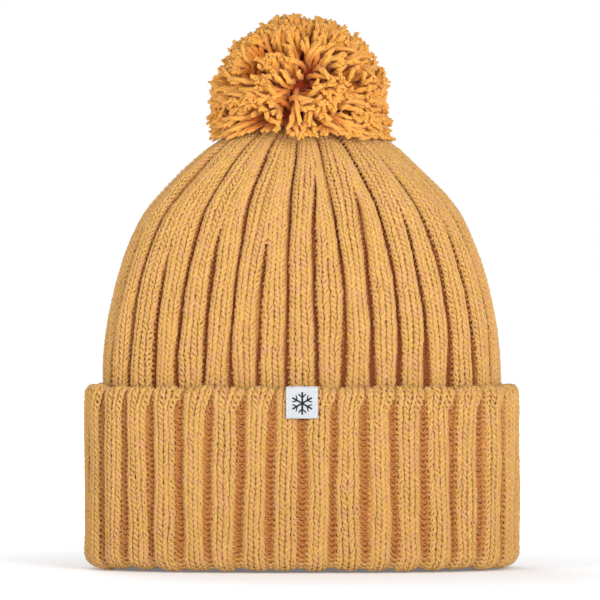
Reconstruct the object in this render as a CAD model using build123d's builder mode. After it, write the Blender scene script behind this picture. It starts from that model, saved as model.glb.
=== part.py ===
from build123d import *
import os
from math import copysign, cos, pi, radians, sin

# A chunky ribbed beanie standing on its rim, relaxed and open at the bottom.
# Millimetres, +Z up. The origin is the centre of the rim, on the plane it rests on.
# The front, with the woven label, faces -Y. The seam is at the back, +Y.

# Driving dimensions
fabric = 5.5  # thickness of the rib knit
roundness = 2.5  # exponent of the superellipse that every level section follows
cuff_half_width = 112.5
cuff_half_depth = 64.5
cuff_height = 96.0
cuff_wall = 7.5
body_half_width = 102.0  # crown, just above the cuff
body_half_depth = 54.0
crown_base = 95.0  # height where the straight wall turns into the dome
crown_top = 233.0
apex_hole_radius = 4.5  # ring of last stitches, drawn together
pompom_radius = 49.0
pompom_equator = 249.0
pompom_top = 287.6
pompom_rim = 233.2  # lowest edge of the clipped ball
lean_pivot = 236.0  # the cord bends here, just above the crown
label_width = 17.0
label_drop = 16.4
label_sheet = 0.8

# Dome profile: a half size shrinks as (1 - s**rise) ** (1 / close) while s goes from 0 to 1.
width_rise = 2.1
width_close = 2.2
depth_rise = 3.2
depth_close = 2.6

# Gaps between layers of knit, and between the label and the cuff
layer_gap = 0.4
label_gap = 0.1

# Derived dimensions
foot_height = cuff_wall + layer_gap
foot_half_width = body_half_width + 2.0
foot_half_depth = body_half_depth + 2.0
dome_height = crown_top - crown_base
pompom_rise = pompom_top - pompom_equator


def ring_face(height, half_width, half_depth, count=24):
    """A level superellipse face at the given height."""
    points = []
    for step in range(count):
        angle = 2 * pi * step / count
        x = half_width * copysign(abs(cos(angle)) ** (2 / roundness), cos(angle))
        y = half_depth * copysign(abs(sin(angle)) ** (2 / roundness), sin(angle))
        points.append((x, y))
    with BuildSketch(Plane.XY.offset(height)) as ring:
        with BuildLine():
            Spline(*points, periodic=True)
        make_face()
    return ring.sketch.face()


def dome_half_sizes(share):
    """Half width and half depth of the dome at this share of its height."""
    half_width = body_half_width * (1 - share**width_rise) ** (1 / width_close)
    half_depth = body_half_depth * (1 - share**depth_rise) ** (1 / depth_close)
    return half_width, half_depth


def crown_rings(inset, foot):
    """Level sections of the crown from its foot to its top, drawn in by inset."""
    sizes = [(foot, foot_half_width, foot_half_depth)]
    wall_steps = 3
    for step in range(1, wall_steps):
        share = step / wall_steps
        height = foot + (crown_base - foot) * share
        half_width = foot_half_width + (body_half_width - foot_half_width) * share
        half_depth = foot_half_depth + (body_half_depth - foot_half_depth) * share
        sizes.append((height, half_width, half_depth))
    dome_steps = 10
    steepest = radians(80)
    for step in range(dome_steps + 1):
        share = sin(steepest * step / dome_steps)
        half_width, half_depth = dome_half_sizes(share)
        height = crown_base + (dome_height - inset) * share
        sizes.append((height, half_width, half_depth))
    return [ring_face(z, w - inset, d - inset) for z, w, d in sizes]


# Crown: one ribbed tube, closed at the top by gathering its last stitches
with BuildPart() as knit_crown:
    loft(crown_rings(0.0, foot_height))
    fillet(knit_crown.faces().sort_by(Axis.Z)[-1].edges(), 2.0)
    loft(crown_rings(fabric, foot_height - fabric), mode=Mode.SUBTRACT)
    with Locations((0, 0, crown_top)):
        Cylinder(apex_hole_radius, 4 * fabric, mode=Mode.SUBTRACT)
knit_crown.part.label = "knit_crown"

# Cuff: the lower end of the tube, turned up outside. Its floor is the fold at the hem,
# and the crown's foot stands in the channel between the fold and the band.
channel_half_width = cuff_half_width - cuff_wall
channel_half_depth = cuff_half_depth - cuff_wall
hollow_half_width = foot_half_width - fabric - layer_gap
hollow_half_depth = foot_half_depth - fabric - layer_gap

with BuildPart() as turned_cuff:
    add(ring_face(0, cuff_half_width, cuff_half_depth))
    extrude(amount=cuff_height)
    fillet(turned_cuff.faces().sort_by(Axis.Z)[0].edges(), 5.0)
    fillet(turned_cuff.faces().sort_by(Axis.Z)[-1].edges(), 2.4)
    add(ring_face(0, hollow_half_width, hollow_half_depth))
    extrude(amount=cuff_height, mode=Mode.SUBTRACT)
    add(ring_face(cuff_wall, channel_half_width, channel_half_depth))
    extrude(amount=cuff_height, mode=Mode.SUBTRACT)
turned_cuff.part.label = "turned_cuff"

# Gather cord: the yarn run through the last stitches, inside the crown's top
gather_radius = 10.0
cord_radius = 1.2
gather_height = crown_top - fabric - 3.5

with BuildPart() as gather_cord:
    with Locations((0, 0, gather_height)):
        Torus(gather_radius, cord_radius)
gather_cord.part.label = "gather_cord"

# Back seam: the ridge where the two edges of the knitted panel are joined, inside the back
seam_radius = 1.3
seam_gap = 1.8
seam_foot = foot_height + 2.0
seam_end = crown_top - 55.0


def inner_back(height, clearance):
    """Y of a point this far inside the back of the crown, at the given height."""
    if height < crown_base:
        share = (height - foot_height) / (crown_base - foot_height)
        half_depth = foot_half_depth + (body_half_depth - foot_half_depth) * share
    else:
        share = (height - crown_base) / (dome_height - fabric)
        half_depth = dome_half_sizes(share)[1]
    return half_depth - fabric - clearance


with BuildPart() as back_seam:
    seam_levels = [seam_foot + (seam_end - seam_foot) * step / 8 for step in range(9)]
    with BuildLine() as seam_path:
        Spline(*[(0, inner_back(z, seam_radius + seam_gap), z) for z in seam_levels])
    with BuildSketch(Plane(origin=seam_path.line @ 0, z_dir=seam_path.line % 0)):
        Circle(seam_radius)
    sweep()
back_seam.part.label = "back_seam"

# Cuff label: a woven tape folded over the top edge of the cuff, blank
label_front = -cuff_half_depth - label_gap
label_back = -channel_half_depth + label_gap
label_inner_drop = 11.0

with BuildPart() as cuff_label:
    with BuildSketch(Plane.YZ.offset(-label_width / 2)) as label_section:
        with BuildLine():
            Polyline(
                (label_front - label_sheet, cuff_height - label_drop),
                (label_front - label_sheet, cuff_height + label_gap + label_sheet),
                (label_back + label_sheet, cuff_height + label_gap + label_sheet),
                (label_back + label_sheet, cuff_height - label_inner_drop),
                (label_back, cuff_height - label_inner_drop),
                (label_back, cuff_height + label_gap),
                (label_front, cuff_height + label_gap),
                (label_front, cuff_height - label_drop),
                close=True,
            )
        make_face()
        upper = label_section.vertices().group_by(Axis.Y)[-1]
        fillet(upper, 1.2)
    extrude(amount=label_width)
cuff_label.part.label = "cuff_label"

# Label stitches: short runs of thread down both edges of the label
stitch_radius = 0.22
stitch_length = 1.9
stitch_pitch = 3.0
stitch_rows = 5
stitch_x = label_width / 2 - 1.1
stitch_y = label_front - label_sheet - stitch_radius - 0.03
stitch_z = cuff_height - label_drop + 2.2

with BuildPart() as label_stitches:
    for side in (-1, 1):
        for row in range(stitch_rows):
            with Locations((side * stitch_x, stitch_y, stitch_z + row * stitch_pitch)):
                Cylinder(stitch_radius, stitch_length)
    fillet(label_stitches.edges(), 0.15)
label_stitches.part.label = "label_stitches"

# Care label: a blank soft tape inside the back, sewn along its top edge beside the seam
care_width = 20.0
care_drop = 30.0
care_sheet = 0.5
care_left = 4.0
care_hinge_height = 72.0
care_y = inner_back(care_hinge_height, 2.4)

with BuildPart() as care_label:
    with BuildSketch(Plane.XZ.offset(-care_y)):
        with Locations((care_left + care_width / 2, care_hinge_height - care_drop / 2)):
            RectangleRounded(care_width, care_drop - 0.4, 1.0)
    extrude(amount=care_sheet)
care_label.part.label = "care_label"

# Care label stitches: bar tacks along the label's sewn edge
tack_radius = 0.4
tack_length = 4.0
tack_count = 4

with BuildPart() as care_label_stitches:
    tack_y = care_y - care_sheet / 2
    for index in range(tack_count):
        tack_x = care_left + care_width * (index + 0.5) / tack_count
        with Locations((tack_x, tack_y, care_hinge_height + 2 * tack_radius)):
            Cylinder(tack_radius, tack_length, rotation=(0, 90, 0))
    fillet(care_label_stitches.edges(), 0.25)
care_label_stitches.part.label = "care_label_stitches"

# Pompom: cut yarn tied at its middle and clipped to a slightly flattened ball. Its underside
# is dished, so that it can lean on its cord without pressing into the crown.
tie_height = 254.0
tie_loop_radius = 7.0
tie_radius = 1.4
tie_clearance = 0.4
tie_channel_radius = 4.5
rim_radius = 43.0
dish_radius = 20.0
dish_height = lean_pivot + 2.0

with BuildPart() as pompom:
    with BuildSketch(Plane.XZ):
        with BuildLine():
            Line((0, pompom_top), (0, dish_height))
            Line((0, dish_height), (dish_radius, dish_height))
            Line((dish_radius, dish_height), (rim_radius, pompom_rim))
            Spline((rim_radius, pompom_rim), (pompom_radius, pompom_equator), tangents=((3, 2), (0, 1)))
            Spline(
                (pompom_radius, pompom_equator),
                (pompom_radius * cos(pi / 4), pompom_equator + pompom_rise * sin(pi / 4)),
                (0, pompom_top),
                tangents=((0, 1), (-1, 0)),
            )
        make_face()
    revolve(axis=Axis.Z)
    with BuildSketch(Plane.XY.offset(dish_height - 1.0)):
        Circle(tie_channel_radius)
    extrude(amount=tie_height - tie_loop_radius - dish_height + 1.0, mode=Mode.SUBTRACT)
    with Locations((0, 0, tie_height)):
        Torus(
            tie_loop_radius,
            tie_radius + tie_clearance,
            rotation=(0, 90, 0),
            mode=Mode.SUBTRACT,
        )
pompom.part.label = "pompom"

# Pompom tie: the cord around the waist of the yarn bundle, and its tails down to the bend
tail_radius = 1.3
tail_spacing = 3.2
bend_gap = 0.7

with BuildPart() as pompom_tie:
    with Locations((0, 0, tie_height)):
        Torus(tie_loop_radius, tie_radius, rotation=(0, 90, 0))
    with BuildSketch(Plane.XY.offset(lean_pivot + bend_gap)):
        with GridLocations(0, tail_spacing, 1, 2):
            Circle(tail_radius)
    extrude(amount=tie_height - tie_loop_radius - lean_pivot - bend_gap)
pompom_tie.part.label = "pompom_tie"

# Tie knot: the same cord below the bend, through the crown's apex, knotted inside the crown
knot_height = crown_top - fabric - 7.0
knot_radius = 3.6
knot_wrap_radius = 1.5

with BuildPart() as tie_knot:
    with Locations((0, 0, knot_height)):
        Sphere(knot_radius)
        for turn in (0, 60, 120):
            Torus(knot_radius - 0.3, knot_wrap_radius, rotation=(65, 0, turn))
    with BuildSketch(Plane.XY.offset(knot_height)):
        with GridLocations(0, tail_spacing, 1, 2):
            Circle(tail_radius)
    extrude(amount=lean_pivot - bend_gap - knot_height)
tie_knot.part.label = "tie_knot"

os.makedirs("parts", exist_ok=True)
export_step(knit_crown.part, "parts/knit_crown.step")
export_step(turned_cuff.part, "parts/turned_cuff.step")
export_step(gather_cord.part, "parts/gather_cord.step")
export_step(back_seam.part, "parts/back_seam.step")
export_step(cuff_label.part, "parts/cuff_label.step")
export_step(label_stitches.part, "parts/label_stitches.step")
export_step(care_label.part, "parts/care_label.step")
export_step(care_label_stitches.part, "parts/care_label_stitches.step")
export_step(pompom.part, "parts/pompom.step")
export_step(pompom_tie.part, "parts/pompom_tie.step")
export_step(tie_knot.part, "parts/tie_knot.step")
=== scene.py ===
import math

import bpy
import numpy as np
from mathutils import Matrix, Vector


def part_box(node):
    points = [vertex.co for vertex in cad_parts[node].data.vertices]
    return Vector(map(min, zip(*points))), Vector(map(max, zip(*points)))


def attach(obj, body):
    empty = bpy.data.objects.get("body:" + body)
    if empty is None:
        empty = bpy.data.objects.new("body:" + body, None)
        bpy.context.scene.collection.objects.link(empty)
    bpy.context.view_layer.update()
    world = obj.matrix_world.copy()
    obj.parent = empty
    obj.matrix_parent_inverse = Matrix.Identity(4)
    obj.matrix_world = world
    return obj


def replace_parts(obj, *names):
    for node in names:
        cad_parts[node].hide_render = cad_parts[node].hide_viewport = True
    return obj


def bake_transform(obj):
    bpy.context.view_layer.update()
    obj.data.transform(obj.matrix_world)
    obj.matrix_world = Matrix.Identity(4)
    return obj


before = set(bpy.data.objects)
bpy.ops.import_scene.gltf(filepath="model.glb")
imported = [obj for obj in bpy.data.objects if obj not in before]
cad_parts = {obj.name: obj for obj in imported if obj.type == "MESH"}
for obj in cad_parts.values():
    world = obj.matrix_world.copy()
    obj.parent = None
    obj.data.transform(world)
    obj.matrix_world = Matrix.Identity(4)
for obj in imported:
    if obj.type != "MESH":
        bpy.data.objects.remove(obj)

# A ribbed pompom beanie, knitted stitch by stitch. Lengths here are millimetres, and
# become metres when a mesh is made. +Z up, front towards -Y, rim on z = 0.
MM = 0.001
join = np.concatenate
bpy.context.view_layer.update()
rng = np.random.default_rng(20)


def node_box(name):
    low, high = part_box(name)
    return np.array(low) / MM, np.array(high) / MM


# ---- driving sizes
ROUNDNESS = 2.5  # superellipse exponent of every level section
RIBS = 36
GROUPS = RIBS // 2  # ribs run in pairs, and each pair becomes one rib high on the crown
CUFF_HALF_WIDTH, CUFF_HALF_DEPTH, CUFF_HEIGHT = node_box("turned_cuff")[1]
CROWN_FOOT = node_box("knit_crown")[0][2] + 3.0  # height of the crown's lower edge, hidden in the cuff
BODY_HALF_WIDTH = 102.0
BODY_HALF_DEPTH = 54.0
DOME_BASE = 95.0
DOME_TOP = 233.0
DOME_END = np.radians(87.2)  # the dome stops just short of its pole
WIDTH_RISE, WIDTH_CLOSE = 2.1, 2.2
DEPTH_RISE, DEPTH_CLOSE = 3.2, 2.6
SHOULDER_SLACK = 0.068  # how far the photo's shoulders fall inside the smooth dome
SHOULDER_HEIGHTS = 180.0, 216.0  # where that slack starts and where it is complete
FOOT_FLARE = 2.0  # how much wider the crown's hidden foot is inside the cuff

YARN_RADIUS = 0.93
COURSE = 2.70  # height of one row of stitches
KNIT_WIDTH = 5.9  # natural width of one knit column
RING_STEPS = 10  # points of yarn in one stitch
YARN_SIDES = 5


# ---- level sections
def smooth(x, low, high):
    t = np.clip((x - low) / (high - low), 0, 1)
    return t * t * (3 - 2 * t)


def xyz(x, y, z):
    """Points (..., 3) from coordinates that broadcast together."""
    return np.stack(np.broadcast_arrays(x, y, z), -1)


def section_table(half_width, half_depth, count=7200):
    """Unit superellipse points against share of the way round, from the front, +X side first."""
    angle = np.linspace(-np.pi / 2, 1.5 * np.pi, count + 1)
    c, s = np.cos(angle), np.sin(angle)
    x = np.sign(c) * np.abs(c) ** (2 / ROUNDNESS)
    y = np.sign(s) * np.abs(s) ** (2 / ROUNDNESS)
    length = np.hypot(np.diff(x * half_width), np.diff(y * half_depth))
    share = join([[0], np.cumsum(length)])
    return share / share[-1], x, y


TURN, TURN_X, TURN_Y = section_table(BODY_HALF_WIDTH, BODY_HALF_DEPTH)


class Profile:
    """A surface made of level sections: half width, half depth and height against length along it.

    facing is 1 where the outside is on the left of the path as it climbs the hat's +X side, else -1."""

    def __init__(self, half_width, half_depth, height, facing=1):
        self.facing = facing
        w, d, z = (np.asarray(a, float) for a in (half_width, half_depth, height))
        # the growth in width and in depth counts as their root mean square
        step = np.hypot(np.hypot(np.diff(w), np.diff(d)) * 0.7071, np.diff(z))
        self.s = join([[0], np.cumsum(step)])
        self.w, self.d, self.z = w, d, z
        self.ws, self.ds, self.zs = (np.gradient(a, self.s) for a in (w, d, z))
        self.length = self.s[-1]

    def at(self, turn, s):
        """Points and outward unit normals."""
        turn = np.mod(turn, 1.0)
        x = np.interp(turn, TURN, TURN_X)
        y = np.interp(turn, TURN, TURN_Y)
        w, d, z = (np.interp(s, self.s, a) for a in (self.w, self.d, self.z))
        ws, ds, zs = (np.interp(s, self.s, a) for a in (self.ws, self.ds, self.zs))
        power = ROUNDNESS - 1
        nx = np.sign(x) * np.abs(x) ** power / w * zs
        ny = np.sign(y) * np.abs(y) ** power / d * zs
        nz = -(np.abs(x) ** ROUNDNESS * ws / w + np.abs(y) ** ROUNDNESS * ds / d)
        n = xyz(nx, ny, nz)
        n *= self.facing / (np.linalg.norm(n, axis=-1, keepdims=True) + 1e-12)
        return xyz(w * x, d * y, z), n


def crown_profile(inset=0.0):
    share = np.sin(np.linspace(0, DOME_END, 400))
    w = BODY_HALF_WIDTH * (1 - share**WIDTH_RISE) ** (1 / WIDTH_CLOSE)
    d = BODY_HALF_DEPTH * (1 - share**DEPTH_RISE) ** (1 / DEPTH_CLOSE)
    z = DOME_BASE + (DOME_TOP - DOME_BASE) * share
    w = w * (1 - SHOULDER_SLACK * smooth(z, *SHOULDER_HEIGHTS))
    foot = np.linspace(0, 1, 60)[:-1]
    foot_z = CROWN_FOOT + (DOME_BASE - CROWN_FOOT) * foot
    w = join([BODY_HALF_WIDTH + FOOT_FLARE * (1 - foot), w])
    d = join([BODY_HALF_DEPTH + FOOT_FLARE * (1 - foot), d])
    return Profile(w - inset, d - inset, join([foot_z, z]) - inset * 0.5)


CROWN = crown_profile()
CUFF_LINE = float(np.interp(DOME_BASE, CROWN.z, CROWN.s))

# The cuff's section: up its inner side, over the top edge, down the outside, round the
# hem fold and up inside the hat.
BAND = 6.4  # from the band's outer face to its inner face
FOLD = 13.6  # from the band's outer face to the fold's inner face
LOOP_ROOM = 0.9  # room left inside the CAD's outline for the loops to stand out
CUFF_LIFT = 1.9  # the same under the hem
TOP_ROOM = 3.6  # how far the section's top lies below the CAD's before that lift
INNER_REACH = 14.0  # how far the band's inner side goes down behind the top edge
FOLD_TOP = 20.0  # where the fold's inner side ends above the floor


def cuff_profile():
    top = CUFF_HEIGHT - TOP_ROOM
    roll = BAND / 2
    fold = FOLD / 2
    sink = fold * 0.98
    hem = sink + 0.4
    turn = np.linspace(0, np.pi, 40)
    offset = [
        np.full(20, -BAND),
        -BAND / 2 - roll * np.cos(turn),
        np.zeros(120),
        -FOLD / 2 + fold * np.cos(turn),
        np.full(20, -FOLD),
    ]
    height = [
        np.linspace(top - INNER_REACH, top - roll, 20, endpoint=False),
        top - roll + roll * np.sin(turn),
        np.linspace(top - roll, hem, 122)[1:-1],
        hem - sink * np.sin(turn),
        np.linspace(hem + 0.4, FOLD_TOP, 21)[1:],
    ]
    o, z = join(offset) - LOOP_ROOM, join(height)
    return Profile(CUFF_HALF_WIDTH + o, CUFF_HALF_DEPTH + o, z + CUFF_LIFT, facing=-1)


CUFF = cuff_profile()
CUFF_TOP = float(CUFF.s[np.argmax(CUFF.z)])
CUFF_HEM = float(CUFF.s[np.argmin(CUFF.z)])


def add_object(name, data):
    obj = bpy.data.objects.new(name, data)
    bpy.context.scene.collection.objects.link(obj)
    return obj


def make_object(name, points, faces, body, material, values=None, pattern_uv=None, bake_uv=None):
    """A mesh from millimetre points and quads, with float point attributes and two uv layers."""
    points = np.asarray(points, np.float32)
    faces = np.asarray(faces, np.int32)
    mesh = bpy.data.meshes.new(name)
    mesh.vertices.add(len(points))
    mesh.vertices.foreach_set("co", (points * MM).ravel())
    mesh.loops.add(faces.size)
    mesh.loops.foreach_set("vertex_index", faces.ravel())
    mesh.polygons.add(len(faces))
    mesh.polygons.foreach_set("loop_start", np.arange(0, faces.size, 4, dtype=np.int32))
    mesh.polygons.foreach_set("use_smooth", np.ones(len(faces), bool))
    for key, numbers in (values or {}).items():
        layer = mesh.attributes.new(key, "FLOAT", "POINT")
        layer.data.foreach_set("value", np.asarray(numbers, np.float32))
    for key, uv in (("OFBake", bake_uv), ("yarn", pattern_uv)):
        if uv is not None:
            layer = mesh.uv_layers.new(name=key)
            layer.data.foreach_set("uv", np.asarray(uv, np.float32).ravel())
    mesh.update(calc_edges=True)
    mesh.materials.append(material)
    obj = add_object(name, mesh)
    if body:
        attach(obj, body)
    return obj


def unit(v):
    return v / (np.linalg.norm(v, axis=-1, keepdims=True) + 1e-12)


def grid_quads(rows, columns, wrap=False):
    """Quads of a grid of points numbered row by row; wrap joins each row's end to its start."""
    i = np.arange(rows - 1)[:, None]
    j = np.arange(columns if wrap else columns - 1)[None, :]
    j2 = (j + 1) % columns
    return np.stack([i * columns + j, i * columns + j2, (i + 1) * columns + j2, (i + 1) * columns + j], -1)


def cell_corners(u, v, du, dv):
    """Uv of the corners of grid cells that start at u, v."""
    return np.stack([u, v, u + du, v, u + du, v + dv, u, v + dv], -1).reshape(-1, 4, 2)


def strip_uv(segments, sides, bands):
    """Bake uv for tube quads: the segments are cut into bands stacked in the unit square."""
    per_band = -(-segments // bands)
    index = np.arange(segments)
    band, along = index // per_band, index % per_band
    pad = 0.04
    u0, u1 = along / per_band, (along + 1.0) / per_band
    side = np.arange(sides)
    v0 = (band[:, None] + pad + (1 - 2 * pad) * side / sides) / bands
    v1 = (band[:, None] + pad + (1 - 2 * pad) * (side + 1) / sides) / bands
    u0, u1 = (np.repeat(a[:, None], sides, 1) for a in (u0, u1))
    return np.stack([u0, v0, u0, v1, u1, v1, u1, v0], -1).reshape(segments, sides, 4, 2)


def frame_along(path, normal, closed):
    """Unit vectors across and up along paths (..., n, 3), up being nearest to the normal."""
    if closed:
        tangent = unit(np.roll(path, -1, -2) - np.roll(path, 1, -2))
    else:
        tangent = unit(np.gradient(path, axis=-2))
    across = unit(np.cross(tangent, np.broadcast_to(normal, path.shape)))
    return across, np.cross(across, tangent)


def tube_rings(path, normal, radius, sides, closed=False):
    """Rings of points round each path: path (tubes, n, 3), normal and radius broadcast to it."""
    across, up = frame_along(path, normal, closed)
    angle = (2 * np.pi * np.arange(sides) / sides)[:, None]
    ring = np.cos(angle) * up[..., None, :] + np.sin(angle) * across[..., None, :]
    radius = np.broadcast_to(np.asarray(radius, float), path.shape[:-1])
    return path[..., None, :] + ring * radius[..., None, None]


class Tubes:
    """Collects yarn tubes into one mesh. Closed tubes join end to start; open ones get end caps."""

    def __init__(self):
        self.points, self.faces, self.uv, self.values = [], [], [], {}
        self.cap_faces, self.cap_uv, self.cap_cells = [], [], []
        self.count = self.total = 0  # points and segments so far

    def add(self, path, normal, radius, sides, closed=False, **values):
        """Tubes along path (tubes, n, 3). Each value broadcasts to (tubes, n)."""
        rings = tube_rings(path, normal, radius, sides, closed)
        tubes, n = rings.shape[:2]
        self.sides = sides
        step = np.linalg.norm(np.roll(path, -1, 1) - path, axis=-1)
        along = join([np.zeros((tubes, 1)), np.cumsum(step, 1)], 1)
        along += (np.arange(tubes) * 57.3 + self.total * 0.37)[:, None]
        segments = n if closed else n - 1
        first = self.count + (np.arange(tubes) * n * sides)[:, None, None]
        i = np.arange(segments)[:, None]
        j = np.arange(sides)[None, :]
        i2, j2 = (i + 1) % n, (j + 1) % sides
        corners = [i * sides + j, i * sides + j2, i2 * sides + j2, i2 * sides + j]
        self.faces.append(np.stack([first + c for c in corners], -1).reshape(-1, 4))
        a0 = np.repeat(along[:, :segments, None], sides, 2)
        a1 = np.repeat(along[:, 1 : segments + 1, None], sides, 2)
        v0 = np.broadcast_to(j / sides, a0.shape)
        v1 = v0 + 1.0 / sides
        self.uv.append(np.stack([a0, v0, a0, v1, a1, v1, a1, v0], -1).reshape(-1, 2))
        if not closed:
            for end, segment, order in ((0, 0, -1), (n - 1, segments - 1, 1)):
                for k in range(1, sides - 2, 2):
                    corner = np.array([0, k, k + 1, k + 2])[::order]
                    self.cap_faces.append(first[:, 0] + end * sides + corner)
                    cap_along = np.repeat(a0[:, segment, 0], 4)
                    self.cap_uv.append(np.stack([cap_along, np.full(4 * tubes, 0.3 * k)], -1))
                    self.cap_cells.append(self.total + np.arange(tubes) * segments + segment)
        for key, value in values.items():
            value = np.broadcast_to(np.asarray(value, float), (tubes, n))
            self.values.setdefault(key, []).append(np.repeat(value.ravel(), sides))
        self.points.append(rings.reshape(-1, 3))
        self.count += tubes * n * sides
        self.total += tubes * segments

    def build(self, name, body, material):
        bands = max(1, round(math.sqrt(self.total / self.sides)))
        cells = strip_uv(self.total, self.sides, bands)
        bake = [cells.reshape(-1, 2)]
        if self.cap_cells:
            bake.append(cells[join(self.cap_cells), 0].reshape(-1, 2))
        values = {key: join(v) for key, v in self.values.items()}
        points, faces = join(self.points), join(self.faces + self.cap_faces)
        pattern = join(self.uv + self.cap_uv)
        return make_object(name, points, faces, body, material, values, pattern, join(bake))


# ---- rib layout of one row
# Columns of one pair of ribs: knit knit purl purl, twice. The last two columns are the groove
# that stays; the middle two are the groove that closes high on the crown.
KNIT_COLUMNS = [0, 1, 4, 5]
CLOSING_GROOVE = [2, 3]
STAYING_GROOVE = [6, 7]
LEAVING_ORDER = [4, 1, 5]  # knit columns in the order in which decreases take them
IS_KNIT = np.array([1, 1, -1, -1, 1, 1, -1, -1.0])
PURL_TILT = np.array([0, 0, 1, -1, 0, 0, 1, -1.0])  # purl bumps slant up to the groove's middle
COLUMNS = len(IS_KNIT)
group_delay = rng.normal(0, 1.1, GROUPS)  # some grooves close sooner and some later
group_delay[:2] = 6.5, 4.5
# How far each group's grooves spread just above the cuff
group_spread = rng.uniform(0.4, 1.4, GROUPS)
group_spread[:4] = 0.7, 1.5, 1.9, 1.7
group_spread[-4:] = 0.6, 0.4, 0.5, 0.4

# The crown's grooves, by the pitch of a pair of ribs
STAYING_WIDTH = [4.0, 20.0, 29.0], [0.6, 1.6, 2.3]  # pitches and the staying groove's widths there
CLOSING_PITCH = 24.0  # the closing groove is shut where the pitch, with its group's delay, is less
CLOSING_RATE = 0.8
CLOSING_WIDTH = 2.3
SPREAD_HEIGHTS = 8.0, 34.0  # above the cuff, where the extra spread starts to fade and is gone
CROWN_GROOVE = 4.3  # depth

# The cuff's grooves
PINCH_START, PINCH_END = 2.0, 14.0  # below the top edge, where a groove is shut and where it is open
SHUT_COLUMN, OPEN_COLUMN = 0.45, 2.40  # widths of one purl column
SHUT_DEPTH, OPEN_DEPTH = 2.4, 3.0
HEM_DEPTH = 0.32  # share of the depth that is left at the hem
HEM_REACH = 1.0, 13.0


def crown_columns(pitch, s):
    """Widths and depths below the rib tops of the columns, for each group's pitch."""
    width = np.zeros((GROUPS, COLUMNS))
    sunk = np.zeros((GROUPS, COLUMNS))
    open_share = 1 - smooth(s - CUFF_LINE, *SPREAD_HEIGHTS)
    for g in range(GROUPS):
        room = pitch[g]
        extra = group_spread[g] * open_share
        stay = np.interp(room, *STAYING_WIDTH) + extra
        close = np.clip(CLOSING_RATE * (room + group_delay[g] - CLOSING_PITCH), 0.0, CLOSING_WIDTH) + extra
        left = room - stay - close
        knit = np.full(4, min(KNIT_WIDTH, max(left / 4, KNIT_WIDTH * 0.85)))
        short = knit.sum() - left
        for column in LEAVING_ORDER:
            cut = min(max(short, 0), knit[0])
            knit[KNIT_COLUMNS.index(column)] -= cut
            short -= cut
        width[g, KNIT_COLUMNS] = knit
        width[g, STAYING_GROOVE] = stay / 2
        width[g, CLOSING_GROOVE] = close / 2
        depth = (CROWN_GROOVE - 0.7 * open_share) * smooth(room, 3, 17)
        sunk[g, STAYING_GROOVE] = -depth
        sunk[g, CLOSING_GROOVE] = -depth * smooth(close, 0.0, 1.3)
    width *= (pitch / width.sum(1))[:, None]
    return width, sunk


def cuff_columns(pitch, s):
    """The same for the cuff: the grooves pinch shut at the top edge and fade out round the hem."""
    open_share = smooth(s - CUFF_TOP, PINCH_START, PINCH_END)
    width = np.zeros((GROUPS, COLUMNS))
    sunk = np.zeros((GROUPS, COLUMNS))
    purl = SHUT_COLUMN + (OPEN_COLUMN - SHUT_COLUMN) * open_share
    width[:, KNIT_COLUMNS] = ((pitch / 2 - 2 * purl) / 2)[:, None]
    width[:, CLOSING_GROOVE + STAYING_GROOVE] = purl
    depth = SHUT_DEPTH + (OPEN_DEPTH - SHUT_DEPTH) * open_share
    depth *= HEM_DEPTH + (1 - HEM_DEPTH) * smooth(abs(s - CUFF_HEM), *HEM_REACH)
    sunk[:, CLOSING_GROOVE + STAYING_GROOVE] = -depth
    return width, sunk


def wobble_field(seed, scale):
    """A smooth seeded wander over the fabric, about one unit high."""
    source = np.random.default_rng(seed)
    waves = []
    for _ in range(14):
        round_count, climb = source.integers(2, 26), source.normal(0, 1.0) / scale
        waves.append((round_count, climb, source.uniform(0, 2 * np.pi), source.uniform(0.4, 1)))

    def field(turn, s):
        total = 0.0
        for k, m, phase, size in waves:
            total = total + size * np.sin(2 * np.pi * k * turn + m * s + phase)
        return total / 2.6

    return field


drift_field = wobble_field(3, 16.0)
swell_field = wobble_field(4, 22.0)
NARROWEST_COLUMN = 0.34  # a column narrower than this is dropped


def row_layout(profile, s_row, columns, start_turn):
    """Centres, widths (as shares of a turn), depths and kinds of the stitches in one row."""
    edges = start_turn + np.arange(GROUPS + 1) / GROUPS
    fine = np.linspace(0, 1, 9)
    turns = (edges[:-1, None] + fine[None, :] / GROUPS).ravel()
    at, _ = profile.at(turns, np.full(turns.shape, s_row))
    at = at.reshape(GROUPS, len(fine), 3)
    pitch = np.linalg.norm(np.diff(at, axis=1), axis=-1).sum(1)
    width, sunk = columns(pitch, s_row)
    share = width / pitch[:, None] / GROUPS
    left = edges[:-1, None] + join([np.zeros((GROUPS, 1)), np.cumsum(share, 1)[:, :-1]], 1)
    centre = left + share / 2
    kind = np.broadcast_to(IS_KNIT, width.shape)
    tilt = np.broadcast_to(PURL_TILT, width.shape)
    keep = (width > NARROWEST_COLUMN).ravel()
    # a dropped column's room goes to its neighbours
    centre, share, sunk, kind, tilt = (a.ravel()[keep] for a in (centre, share, sunk, kind, tilt))
    bound = join([centre - share / 2, [centre[0] - share[0] / 2 + 1.0]])
    share = np.diff(bound)
    centre = bound[:-1] + share / 2
    mm_per_turn = np.repeat(pitch * GROUPS, COLUMNS)[keep]
    return centre, share, sunk, kind, tilt, share * mm_per_turn


LOOP_SPREAD = 0.27  # how far a loop's legs open towards its head, as a share of its width
LOOP_REACH = 0.98  # half height of a loop, as a share of the row height
LOOP_DEPTH = 0.70
PURL_SLANT = 1.9
EDGE_ROUNDNESS = 2.4  # how suddenly a rib's edge turns down into the groove
DRIFT, SWELL = 0.75, 0.35  # how far the whole fabric wanders sideways and in thickness
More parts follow.
